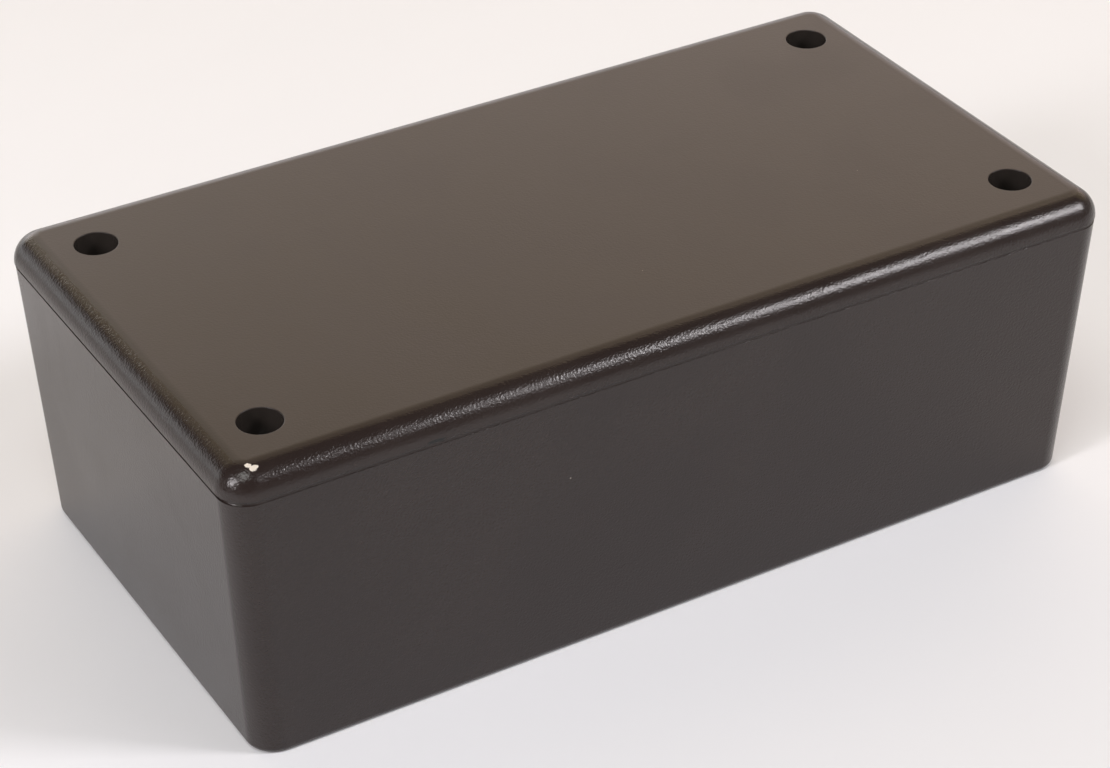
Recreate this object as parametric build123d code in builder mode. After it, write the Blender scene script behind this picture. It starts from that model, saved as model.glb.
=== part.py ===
from build123d import *
import os

# Moulded project box, in millimetres. X runs along the length, Y across the width and Z up from the
# resting face. The front long side faces -Y and the left end faces -X.

# Overall outline, measured over the lid
box_length = 150.0
box_width = 79.0
box_height = 50.5

# Lid
lid_edge_radius = 4.3        # rounded top edge
lid_edge_land = 0.2          # upright strip between the rounded edge and the seam
top_corner_radius = 0.7      # corners of the flat top face, inside the rounded edge
lid_plate = 2.5              # thickness of the flat top
lid_overhang = 0.2           # how far the lid stands proud of the base's rim
tongue_depth = 2.5           # locating tongue below the seam
tongue_thickness = 1.4
tongue_clearance = 0.4       # from the tongue to the base's inner wall, at the rim
tongue_inner_radius = 0.5    # inside corners of the tongue and of the lid's hollow

# Base
wall = 2.3
floor_thickness = 2.5
base_corner_radius = 4.5     # upright outer corners
base_bottom_radius = 1.0     # outer edge round the resting face
rim_bevel = 0.4              # bevel outside the rim, which shows as the seam line
side_draft = 2.15            # taper of the long sides, in degrees
end_draft = 3.0              # taper of the ends, in degrees

# Lid screws and the bushes they run into
screw_inset_x = 10.5         # screw axis to the lid's end
screw_inset_y = 11.65        # screw axis to the lid's long side
screw_diameter = 3.0
screw_length = 10.0          # under the head
head_diameter = 5.6
head_height = 2.4
head_bevel = 0.8             # bevel round the head's upper edge
drive_width = 0.9            # one arm of the cross recess
drive_span = 3.2             # tip to tip of the cross recess
drive_depth = 1.3
head_recess = 4.8            # from the lid's top down to the head's top
head_clearance = 0.55        # round the head, in its counterbore
shank_clearance = 0.2        # round the shank, in the lid
thread_clearance = 0.05      # round the shank, in the bush
bush_diameter = 4.8
bush_length = 6.0
tip_room = 1.5               # free depth below the screw's tip

# Lid bosses and base pillars round the screws
boss_wall = 1.65
boss_floor = 1.8             # plastic under the screw's head
pillar_gap = 0.2             # between boss and pillar, so that the rim closes first
pillar_wall = 2.1
web_thickness = 1.6          # webs from each pillar to the two walls beside it
web_drop = 1.5               # from the pillar's top down to the webs

# Slots for upright circuit boards, between pairs of ribs on the inner walls
guide_slot = 1.8
guide_rib = 1.2              # thickness of one rib
guide_reach = 3.5            # from the inner wall at the rim to the ribs' faces
guide_pitch = 25.0
guide_margin = 1.0           # least space between a pair of ribs and a pillar
guide_gap = 0.8              # from the lid's tongue down to the ribs

# Heights and depths that the pieces share
seam_z = box_height - lid_edge_radius - lid_edge_land
tongue_bottom_z = seam_z - tongue_depth
plate_bottom_z = box_height - lid_plate
head_top_z = box_height - head_recess
head_seat_z = head_top_z - head_height
boss_bottom_z = head_seat_z - boss_floor
pillar_top_z = boss_bottom_z - pillar_gap
screw_tip_z = head_seat_z - screw_length
guide_top_z = tongue_bottom_z - guide_gap
root_z = floor_thickness / 2
counterbore_depth = box_height - head_seat_z
pillar_bore_depth = pillar_top_z - screw_tip_z + tip_room

# Widths and radii that the pieces share
rim_length = box_length - 2 * lid_overhang
rim_width = box_width - 2 * lid_overhang
mouth_length = rim_length - 2 * wall
mouth_width = rim_width - 2 * wall
mouth_radius = base_corner_radius - wall
tongue_length = mouth_length - 2 * tongue_clearance
tongue_width = mouth_width - 2 * tongue_clearance
tongue_radius = mouth_radius - tongue_clearance
screw_pitch_x = box_length - 2 * screw_inset_x
screw_pitch_y = box_width - 2 * screw_inset_y
shank_hole_radius = screw_diameter / 2 + shank_clearance
counterbore_radius = head_diameter / 2 + head_clearance
boss_radius = counterbore_radius + boss_wall
bush_radius = bush_diameter / 2
pillar_radius = bush_radius + pillar_wall
guide_width = guide_slot + 2 * guide_rib

corners = {
    "front_left": (-screw_pitch_x / 2, -screw_pitch_y / 2),
    "front_right": (screw_pitch_x / 2, -screw_pitch_y / 2),
    "back_left": (-screw_pitch_x / 2, screw_pitch_y / 2),
    "back_right": (screw_pitch_x / 2, screw_pitch_y / 2),
}


def tapered_block(inset, bottom_z):
    """The base's tapered form, from bottom_z to the seam, moved inwards by inset at the rim."""
    rim_plane = Plane.XY.offset(seam_z)
    with BuildPart() as block:
        with BuildSketch(Plane.XY.offset(bottom_z)):
            Rectangle(rim_length - 2 * inset, rim_width - 2 * inset)
        extrude(amount=seam_z - bottom_z)
        draft(block.faces().filter_by(Axis.X), rim_plane, -end_draft)
        draft(block.faces().filter_by(Axis.Y), rim_plane, -side_draft)
        fillet(block.edges().group_by(Axis.Z)[1], base_corner_radius - inset)
    return block.part


def pattern_count(span):
    """How many board slots fit side by side between two pillars."""
    return 1 + int((span - 2 * pillar_radius - guide_width - 2 * guide_margin) / guide_pitch)


# Base: outer form, cavity, and the pillars, webs and ribs that stand in it
outer_form = tapered_block(0, 0)
cavity_form = tapered_block(wall, floor_thickness)
mid_wall_form = tapered_block(wall / 2, root_z)

with BuildPart() as fittings:
    with BuildSketch(Plane.XY.offset(root_z)):
        with GridLocations(screw_pitch_x, screw_pitch_y, 2, 2):
            Circle(pillar_radius)
    extrude(amount=pillar_top_z - root_z)
    with BuildSketch(Plane.XY.offset(root_z)):
        with GridLocations(box_length, screw_pitch_y, 2, 2):
            Rectangle(2 * screw_inset_x, web_thickness)
        with GridLocations(screw_pitch_x, box_width, 2, 2):
            Rectangle(web_thickness, 2 * screw_inset_y)
    extrude(amount=pillar_top_z - web_drop - root_z)
    with BuildSketch(Plane.XY.offset(root_z)):
        with GridLocations(guide_pitch, mouth_width, pattern_count(screw_pitch_x), 2):
            Rectangle(guide_width, 2 * guide_reach)
            Rectangle(guide_slot, 2 * guide_reach, mode=Mode.SUBTRACT)
        with GridLocations(mouth_length, guide_pitch, 2, pattern_count(screw_pitch_y)):
            Rectangle(2 * guide_reach, guide_width)
            Rectangle(2 * guide_reach, guide_slot, mode=Mode.SUBTRACT)
    extrude(amount=guide_top_z - root_z)
    add(mid_wall_form, mode=Mode.INTERSECT)

with BuildPart() as base:
    add(outer_form)
    fillet(base.faces().sort_by(Axis.Z)[0].edges(), base_bottom_radius)
    add(cavity_form, mode=Mode.SUBTRACT)
    chamfer(base.faces().sort_by(Axis.Z)[-1].outer_wire().edges(), rim_bevel)
    add(fittings.part)
    with Locations(Plane.XY.offset(pillar_top_z)):
        with GridLocations(screw_pitch_x, screw_pitch_y, 2, 2):
            Hole(bush_radius, depth=pillar_bore_depth)

# Lid: rounded cover with a locating tongue and four counterbored bosses
with BuildPart() as lid:
    with BuildSketch(Plane.XY.offset(seam_z)):
        RectangleRounded(box_length, box_width, lid_edge_radius + top_corner_radius)
    extrude(amount=box_height - seam_z)
    fillet(lid.faces().sort_by(Axis.Z)[-1].edges(), lid_edge_radius)
    with BuildSketch(Plane.XY.offset(tongue_bottom_z)):
        RectangleRounded(tongue_length, tongue_width, tongue_radius)
    extrude(amount=seam_z - tongue_bottom_z)
    with BuildSketch(Plane.XY.offset(tongue_bottom_z)):
        RectangleRounded(
            tongue_length - 2 * tongue_thickness, tongue_width - 2 * tongue_thickness, tongue_inner_radius
        )
    extrude(amount=plate_bottom_z - tongue_bottom_z, mode=Mode.SUBTRACT)
    with BuildSketch(Plane.XY.offset(boss_bottom_z)):
        with GridLocations(screw_pitch_x, screw_pitch_y, 2, 2):
            Circle(boss_radius)
    extrude(amount=plate_bottom_z - boss_bottom_z)
    with Locations(Plane.XY.offset(box_height)):
        with GridLocations(screw_pitch_x, screw_pitch_y, 2, 2):
            CounterBoreHole(shank_hole_radius, counterbore_radius, counterbore_depth)

os.makedirs("parts", exist_ok=True)
for piece, name in ((base, "base"), (lid, "lid")):
    piece.part.label = name
    export_step(piece.part, f"parts/{name}.step")

# Lid screws and bushes, one of each on every screw axis
for corner, (x, y) in corners.items():
    section = Plane(origin=(x, y, 0), x_dir=(1, 0, 0), z_dir=(0, -1, 0))
    screw_axis = Axis((x, y, 0), (0, 0, 1))

    with BuildPart() as screw:
        with BuildSketch(section):
            with Locations((0, screw_tip_z)):
                Rectangle(screw_diameter / 2, screw_length, align=Align.MIN)
            with Locations((0, head_seat_z)):
                Rectangle(head_diameter / 2, head_height, align=Align.MIN)
        revolve(axis=screw_axis)
        chamfer(screw.faces().sort_by(Axis.Z)[-1].edges(), head_bevel)
        with BuildSketch(Plane((x, y, head_top_z))):
            Rectangle(drive_span, drive_width)
            Rectangle(drive_width, drive_span)
        extrude(amount=-drive_depth, mode=Mode.SUBTRACT)
    screw.part.label = f"screw_{corner}"
    export_step(screw.part, f"parts/screw_{corner}.step")

    with BuildPart() as bush:
        with BuildSketch(Plane((x, y, pillar_top_z))):
            Circle(bush_radius)
            Circle(screw_diameter / 2 + thread_clearance, mode=Mode.SUBTRACT)
        extrude(amount=-bush_length)
    bush.part.label = f"bush_{corner}"
    export_step(bush.part, f"parts/bush_{corner}.step")
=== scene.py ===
"""Looks of a black moulded project box: two shells, four lid screws and four thread bushes."""

import logging
import math
from collections.abc import Callable, Mapping, Sequence
from dataclasses import dataclass
from enum import Enum
from typing import NamedTuple

import bmesh
import bpy
from mathutils import Matrix, Vector


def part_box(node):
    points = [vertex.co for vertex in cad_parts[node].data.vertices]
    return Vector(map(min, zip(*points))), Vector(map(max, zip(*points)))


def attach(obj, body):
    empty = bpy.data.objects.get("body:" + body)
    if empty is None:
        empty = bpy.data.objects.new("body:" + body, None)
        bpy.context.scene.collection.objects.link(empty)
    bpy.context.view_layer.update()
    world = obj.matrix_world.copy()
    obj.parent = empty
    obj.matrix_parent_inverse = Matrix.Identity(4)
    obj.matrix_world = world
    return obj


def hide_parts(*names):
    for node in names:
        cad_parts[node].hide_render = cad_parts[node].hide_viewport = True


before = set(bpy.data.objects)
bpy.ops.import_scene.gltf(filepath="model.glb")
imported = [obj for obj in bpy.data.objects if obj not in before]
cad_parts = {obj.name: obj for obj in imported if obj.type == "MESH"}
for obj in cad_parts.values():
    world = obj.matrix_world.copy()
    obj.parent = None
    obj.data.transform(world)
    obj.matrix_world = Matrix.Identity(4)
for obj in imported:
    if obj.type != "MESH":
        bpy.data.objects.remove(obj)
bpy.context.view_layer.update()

log = logging.getLogger("project_box")

MM = 0.001
FULL_TURN = 2 * math.pi
QUARTER_TURN = math.pi / 2
MERGE_DISTANCE = 0.0005 * MM
CREASE = math.radians(32)
SKIN_ATTRIBUTE = "mould_skin"

# Sockets of the mix node that carry its share and colours, and the mixed colour
MIX_INPUTS = (0, 6, 7)
MIX_RESULT = 2

Pair = tuple[float, float]
Triple = tuple[float, float, float]
Material = bpy.types.Material
Mesh = bpy.types.Mesh
NodeTree = bpy.types.NodeTree
Piece = bpy.types.Object
Socket = bpy.types.NodeSocket


class Corner(Enum):
    """Corners of the box; the front faces -Y and the left end faces -X."""

    FRONT_LEFT = "front_left"
    FRONT_RIGHT = "front_right"
    BACK_LEFT = "back_left"
    BACK_RIGHT = "back_right"

    def named(self, kind: str) -> str:
        """Return the name of the piece of that kind in this corner."""
        return f"{kind}_{self.value}"


class Ends(Enum):
    """What closes a skin at its first and last outline."""

    CAPPED = "a face over each"
    JOINED = "faces from the last to the first"
    OPEN = "nothing"


class Slot(Enum):
    """The record's material slots."""

    SHELL = "shell"
    SCREW = "screw"
    BUSH = "bush"


class Wiring:
    """A node tree being wired, with short ways to add nodes and named sockets."""

    takes: bpy.types.bpy_prop_collection | None = None
    gives: bpy.types.bpy_prop_collection | None = None

    def __init__(self, tree: NodeTree) -> None:
        """Keep the tree that nodes go into."""
        self.tree = tree

    @classmethod
    def group(cls, name: str, kind: str, takes: Mapping[str, tuple], gives: Mapping[str, str]) -> "Wiring":
        """Start a node group with named sockets.

        Args:
            name: Name of the group.
            kind: Type of tree, for shaders or for geometry.
            takes: Socket type of each input, with its default value where it has one.
            gives: Socket type of each output.

        Returns:
            The wiring, with the group's inputs as `takes` and its outputs as `gives`.
        """
        wiring = cls(bpy.data.node_groups.new(name, kind))
        for label, (socket_type, *default) in takes.items():
            socket = wiring.tree.interface.new_socket(label, in_out="INPUT", socket_type=socket_type)
            if default:
                socket.default_value = default[0]
        for label, socket_type in gives.items():
            wiring.tree.interface.new_socket(label, in_out="OUTPUT", socket_type=socket_type)
        wiring.takes = wiring.tree.nodes.new("NodeGroupInput").outputs
        wiring.gives = wiring.tree.nodes.new("NodeGroupOutput").inputs
        return wiring

    def add(self, kind: str, inputs: Mapping | None = None, **settings: object) -> bpy.types.Node:
        """Add one node.

        Args:
            kind: Type of the node.
            inputs: For each socket, by name or number, its value, its source or a list of sources.
            **settings: Properties of the node, set before its sockets.

        Returns:
            The new node.
        """
        node = self.tree.nodes.new(kind)
        for key, value in settings.items():
            setattr(node, key, value)
        for key, value in (inputs or {}).items():
            self.feed(node.inputs[key], value)
        return node

    def feed(self, socket: Socket, value: object) -> None:
        """Give a socket its value or link it to its source.

        Args:
            socket: Socket to feed.
            value: A value, a source, or a list of sources that are all linked.
        """
        for source in value if isinstance(value, list) else [value]:
            if isinstance(source, Socket):
                self.tree.links.new(source, socket)
            else:
                socket.default_value = source

    def math(self, operation: str, *terms: object) -> Socket:
        """Return the result of one arithmetic step on numbers or sockets."""
        return self.add("ShaderNodeMath", dict(enumerate(terms)), operation=operation).outputs[0]

    def vectors(self, operation: str, *terms: object) -> Socket:
        """Return the result of one arithmetic step on vectors."""
        return self.add("ShaderNodeVectorMath", dict(enumerate(terms)), operation=operation).outputs[0]

    def ramp(self, value: Socket, low: float, high: float, to: Pair = (0.0, 1.0)) -> Socket:
        """Return a value eased from one range into another."""
        spread = {"Value": value, "From Min": low, "From Max": high, "To Min": to[0], "To Max": to[1]}
        return self.add("ShaderNodeMapRange", spread, interpolation_type="SMOOTHSTEP").outputs[0]

    def blend(self, share: Socket, first: object, second: object) -> Socket:
        """Mix two colours by a share that varies over the surface.

        Args:
            share: Share of the second colour.
            first: First colour or its source.
            second: Second colour or its source.

        Returns:
            The mixed colour.
        """
        colours = [value if isinstance(value, Socket) else (*value, 1.0) for value in (first, second)]
        node = self.add("ShaderNodeMix", data_type="RGBA")
        for number, value in zip(MIX_INPUTS, (share, *colours)):
            self.feed(node.inputs[number], value)
        return node.outputs[MIX_RESULT]


@dataclass(frozen=True)
class Outline:
    """A level rectangle with rounded corners about the upright axis."""

    half_length: float
    half_width: float
    radius: float
    z: float

    def points(self, steps: int) -> list[Vector]:
        """Lay out the outline's points.

        Args:
            steps: How many steps go round each corner.

        Returns:
            The points, counter-clockwise as seen from above.
        """
        found = []
        for quarter, (side_x, side_y) in enumerate(((1, 1), (-1, 1), (-1, -1), (1, -1))):
            x = side_x * (self.half_length - self.radius)
            y = side_y * (self.half_width - self.radius)
            for step in range(steps + 1):
                angle = QUARTER_TURN * (quarter + step / steps)
                reach = self.radius * Vector((math.cos(angle), math.sin(angle), 0))
                found.append(Vector((x, y, self.z)) + reach)
        return found


def circle(radius: float, z: float, sides: int) -> list[Vector]:
    """Return the points of a level circle about the upright axis."""
    turns = (FULL_TURN * side / sides for side in range(sides))
    return [Vector((radius * math.cos(turn), radius * math.sin(turn), z)) for turn in turns]


def turned(profile: Sequence[Pair], sides: int) -> list[list[Vector]]:
    """Return the circles of a turned form from its radii and heights."""
    return [circle(radius, z, sides) for radius, z in profile]


def rounded(radius: float, steps: int) -> list[Pair]:
    """Return inset and drop along a rounded edge, from the side up to the top."""
    angles = [QUARTER_TURN * step / steps for step in range(steps + 1)]
    return [(radius * (1 - math.cos(angle)), radius * (1 - math.sin(angle))) for angle in angles]


def skin(name: str, outlines: Sequence[Sequence[Vector]], ends: Ends = Ends.CAPPED) -> Mesh:
    """Join outlines of equal point count into one surface.

    Args:
        name: Name of the new mesh.
        outlines: Outlines in order, neighbours joined by quads.
        ends: What closes the skin at its first and last outline.

    Returns:
        The mesh, with its faces pointing outwards.
    """
    work = bmesh.new()
    rows = [[work.verts.new(point) for point in outline] for outline in outlines]
    if ends is Ends.CAPPED:
        work.faces.new(rows[0])
        work.faces.new(rows[-1])
    if ends is Ends.JOINED:
        rows.append(rows[0])
    for low, high in zip(rows, rows[1:]):
        for here in range(len(low)):
            work.faces.new((low[here - 1], low[here], high[here], high[here - 1]))
    bmesh.ops.recalc_face_normals(work, faces=work.faces)
    mesh = bpy.data.meshes.new(name)
    work.to_mesh(mesh)
    work.free()
    return mesh


def link(name: str, mesh: Mesh) -> Piece:
    """Put a mesh into the scene as an object at the origin.

    Args:
        name: Name of the object.
        mesh: Its mesh.

    Returns:
        The object.
    """
    made = bpy.data.objects.new(name, mesh)
    bpy.context.scene.collection.objects.link(made)
    return made


def settle(piece: Piece) -> None:
    """Turn a piece and its modifiers into a plain mesh.

    Args:
        piece: Piece whose modifiers are worked into its mesh and removed.
    """
    graph = bpy.context.evaluated_depsgraph_get()
    evaluated = piece.evaluated_get(graph)
    mesh = bpy.data.meshes.new_from_object(evaluated, preserve_all_data_layers=True, depsgraph=graph)
    piece.modifiers.clear()
    piece.data = mesh


def grow(piece: Piece, tree: NodeTree, values: Mapping[str, object]) -> None:
    """Run a geometry tree on a piece and keep the result as its plain mesh.

    Args:
        piece: Object whose mesh the tree starts from.
        tree: Geometry tree to run.
        values: Value of each named input; an object among them is a form, removed afterwards.
    """
    modifier = piece.modifiers.new(tree.name, "NODES")
    modifier.node_group = tree
    for item in tree.interface.items_tree:
        if item.in_out == "INPUT" and item.name in values:
            modifier[item.identifier] = values[item.name]
    settle(piece)
    for value in values.values():
        if isinstance(value, Piece):
            bpy.data.objects.remove(value)


def smooth(piece: Piece) -> None:
    """Shade a piece smooth, with flat faces kept flat and edges over the crease angle kept hard.

    Args:
        piece: Piece to shade; its doubled points are merged first.
    """
    work = bmesh.new()
    work.from_mesh(piece.data)
    bmesh.ops.remove_doubles(work, verts=work.verts, dist=MERGE_DISTANCE)
    bmesh.ops.dissolve_degenerate(work, edges=work.edges, dist=MERGE_DISTANCE)
    for face in work.faces:
        face.smooth = True
    for edge in work.edges:
        edge.smooth = edge.calc_face_angle(math.pi) < CREASE
    work.to_mesh(piece.data)
    work.free()
    modifier = piece.modifiers.new("Even normals", "WEIGHTED_NORMAL")
    modifier.keep_sharp = True
    settle(piece)


def triangles(piece: Piece) -> int:
    """Return how many triangles a piece's mesh has."""
    return sum(len(face.vertices) - 2 for face in piece.data.polygons)


def boolean(wiring: Wiring, operation: str, *parts: Socket) -> Socket:
    """Combine geometries into one.

    Args:
        wiring: Tree that the step goes into.
        operation: UNION, INTERSECT or DIFFERENCE.
        *parts: Geometries; a difference takes the others away from the first.

    Returns:
        The combined geometry.
    """
    node = wiring.add("GeometryNodeMeshBoolean", operation=operation, solver="MANIFOLD")
    others = list(parts)
    if operation == "DIFFERENCE":
        wiring.feed(node.inputs["Mesh 1"], others.pop(0))
    wiring.feed(node.inputs["Mesh 2"], others)
    return node.outputs["Mesh"]


def dressed(wiring: Wiring, geometry: Socket) -> NodeTree:
    """End a geometry tree in real faces with the finish on them.

    Args:
        wiring: Tree to end.
        geometry: What the tree has made.

    Returns:
        The finished tree.
    """
    real = wiring.add("GeometryNodeRealizeInstances", {"Geometry": geometry}).outputs[0]
    made = wiring.add("GeometryNodeSetMaterial", {"Geometry": real, "Material": wiring.takes["Finish"]})
    wiring.feed(wiring.gives["Geometry"], made.outputs[0])
    return wiring.tree


VECTOR = ("NodeSocketVector",)
GEOMETRY = ("NodeSocketGeometry",)
FORM = ("NodeSocketObject",)
NUMBER = ("NodeSocketFloat", 0.0)
COUNT = ("NodeSocketInt", 2)
MATERIAL = ("NodeSocketMaterial",)


def copies_group() -> NodeTree:
    """Make the geometry group that sets copies of a form out on a level grid.

    Returns:
        The group.
    """
    takes = {"Form": GEOMETRY, "Count X": COUNT, "Count Y": COUNT, "Pitch X": NUMBER, "Pitch Y": NUMBER}
    wiring = Wiring.group("Copies on a grid", "GeometryNodeTree", takes, {"Geometry": "NodeSocketGeometry"})
    spread = {}
    for axis in "XY":
        count, pitch = wiring.takes[f"Count {axis}"], wiring.takes[f"Pitch {axis}"]
        spread[f"Vertices {axis}"] = count
        spread[f"Size {axis}"] = wiring.math("MULTIPLY", wiring.math("SUBTRACT", count, 1.0), pitch)
    grid = wiring.add("GeometryNodeMeshGrid", spread)
    placed = wiring.add(
        "GeometryNodeInstanceOnPoints", {"Points": grid.outputs["Mesh"], "Instance": wiring.takes["Form"]}
    )
    real = wiring.add("GeometryNodeRealizeInstances", {"Geometry": placed.outputs["Instances"]})
    wiring.feed(wiring.gives["Geometry"], real.outputs[0])
    return wiring.tree


class ShellTree:
    """Start of a geometry tree that works on one shell, with forms set out on grids."""

    def __init__(self, name: str, takes: Mapping[str, tuple], copies: NodeTree | None = None) -> None:
        """Open the tree with a shell, the named inputs and a finish.

        Args:
            name: Name of the tree.
            takes: Socket type and default value of each named input.
            copies: Group that sets forms out on grids, where the tree needs it.
        """
        sockets = {"Shell": GEOMETRY, **takes, "Finish": MATERIAL}
        self.wiring = Wiring.group(name, "GeometryNodeTree", sockets, {"Geometry": "NodeSocketGeometry"})
        self._copies = copies

    def form(self, label: str) -> Socket:
        """Return the geometry of the form that a named input gives."""
        info = self.wiring.add("GeometryNodeObjectInfo", {"Object": self.wiring.takes[label]})
        return info.outputs["Geometry"]

    def grid(self, form: Socket, counts: tuple, pitches: tuple) -> Socket:
        """Set copies of a form out on a level grid.

        Args:
            form: Geometry to copy.
            counts: How many stand along X and Y, each by value or by an input's name.
            pitches: Their spacing along X and Y, likewise.

        Returns:
            The copies.
        """
        node = self.wiring.add("GeometryNodeGroup", node_tree=self._copies)
        sizes = dict(zip(("Count X", "Count Y", "Pitch X", "Pitch Y"), (*counts, *pitches)))
        for label, value in {"Form": form, **sizes}.items():
            source = self.wiring.takes[value] if isinstance(value, str) else value
            self.wiring.feed(node.inputs[label], source)
        return node.outputs["Geometry"]


class SharedEffects:
    """Shader groups that more than one finish uses."""

    grain_noise = {"Detail": 2.0, "Roughness": 0.55}
    smudge_noise = {"Detail": 4.0, "Roughness": 0.5, "Distortion": 0.6}
    smudge_range = (0.35, 0.7)
    least_speck = 0.4

    def __init__(self) -> None:
        """Build each group once."""
        self.grain = self._grain()
        self.smudges = self._smudges()
        self.specks = self._specks()

    @staticmethod
    def _noise(wiring: Wiring, settings: Mapping[str, float]) -> Socket:
        """Add the noise that a group with one size starts from.

        Args:
            wiring: Group, with a place and a size among its inputs.
            settings: Values of the noise.

        Returns:
            The noise, from 0 to 1.
        """
        scale = wiring.math("DIVIDE", 1.0, wiring.takes["Size"])
        where = {"Vector": wiring.takes["Vector"], "Scale": scale}
        return wiring.add("ShaderNodeTexNoise", {**where, **settings}).outputs["Fac"]

    def _grain(self) -> NodeTree:
        """Make the group of fine moulded or blasted grain.

        Returns:
            The group, which gives a height from 0 to 1.
        """
        takes = {"Vector": VECTOR, "Size": NUMBER}
        wiring = Wiring.group("Fine grain", "ShaderNodeTree", takes, {"Height": "NodeSocketFloat"})
        wiring.feed(wiring.gives["Height"], self._noise(wiring, self.grain_noise))
        return wiring.tree

    def _smudges(self) -> NodeTree:
        """Make the group of broad soft patches left by handling.

        Returns:
            The group, which gives a mask.
        """
        takes = {"Vector": VECTOR, "Size": NUMBER}
        wiring = Wiring.group("Smudges", "ShaderNodeTree", takes, {"Mask": "NodeSocketFloat"})
        noise = self._noise(wiring, self.smudge_noise)
        wiring.feed(wiring.gives["Mask"], wiring.ramp(noise, *self.smudge_range))
        return wiring.tree

    def _specks(self) -> NodeTree:
        """Make the group of sparse dust specks.

        Returns:
            The group, which gives a mask.
        """
        takes = {"Vector": VECTOR, "Spacing": NUMBER, "Radius": NUMBER, "Share": NUMBER}
        wiring = Wiring.group("Dust specks", "ShaderNodeTree", takes, {"Mask": "NodeSocketFloat"})
        spacing = wiring.takes["Spacing"]
        scale = wiring.math("DIVIDE", 1.0, spacing)
        cells = wiring.add("ShaderNodeTexVoronoi", {"Vector": wiring.takes["Vector"], "Scale": scale})
        chance = wiring.add("ShaderNodeSeparateColor", {"Color": cells.outputs["Color"]}).outputs
        size = wiring.math("ADD", chance["Green"], self.least_speck)
        radius = wiring.math("MULTIPLY", wiring.takes["Radius"], size)
        near = wiring.math("LESS_THAN", wiring.math("MULTIPLY", cells.outputs["Distance"], spacing), radius)
        kept = wiring.math("LESS_THAN", chance["Red"], wiring.takes["Share"])
        wiring.feed(wiring.gives["Mask"], wiring.math("MULTIPLY", near, kept))
        return wiring.tree


class SurfaceNodes(Wiring):
    """A material being wired on the piece's own coordinates."""

    mark_detail = 2.0
    mark_edge = (1.0, 0.8)
    noise_middle = 0.5

    def __init__(self, name: str) -> None:
        """Start a material with its principled shader at hand.

        Args:
            name: Name of the material.
        """
        self.material = bpy.data.materials.new(name)
        self.material.use_nodes = True
        super().__init__(self.material.node_tree)
        self.shader = self.tree.nodes["Principled BSDF"]
        self.place = self.add("ShaderNodeTexCoord").outputs["Object"]

    def effect(self, group: NodeTree, **sizes: float) -> Socket:
        """Place a shared effect in the material.

        Args:
            group: Shader group of the effect.
            **sizes: Value of each of its named inputs.

        Returns:
            The effect's output.
        """
        node = self.add("ShaderNodeGroup", node_tree=group)
        self.feed(node.inputs["Vector"], self.place)
        for label, value in sizes.items():
            node.inputs[label].default_value = value
        return node.outputs[0]

    def bump(self, height: Socket, depth: float) -> None:
        """Raise the surface by a height from 0 to 1 times a depth."""
        node = self.add("ShaderNodeBump", {"Height": height, "Strength": 1.0, "Distance": depth})
        self.feed(self.shader.inputs["Normal"], node.outputs["Normal"])

    def spot(self, centre: Triple, reach: Triple, ragged: float, grain: float) -> Socket:
        """Return the mask of one ragged mark.

        Args:
            centre: Middle of the mark.
            reach: Half the mark's size along X, Y and Z.
            ragged: How far its edge wanders, as a share of its size.
            grain: Size of the wandering.

        Returns:
            A mask, 1 inside the mark.
        """
        scaled = self.vectors("DIVIDE", self.vectors("SUBTRACT", self.place, centre), reach)
        length = self.add("ShaderNodeVectorMath", {0: scaled}, operation="LENGTH").outputs["Value"]
        wander = {"Vector": self.place, "Scale": 1 / grain, "Detail": self.mark_detail}
        noise = self.add("ShaderNodeTexNoise", wander).outputs["Fac"]
        swing = self.math("SUBTRACT", noise, self.noise_middle)
        edge = self.math("ADD", length, self.math("MULTIPLY", swing, ragged))
        return self.ramp(edge, *self.mark_edge)


@dataclass(frozen=True)
class Mark:
    """A small mark on the plastic: a pale bruise or scratch, or a dark streak of painted shade at the seam.
    """

    centre: Triple
    reach: Triple
    colour: Triple
    ragged: float = 1.2


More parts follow.
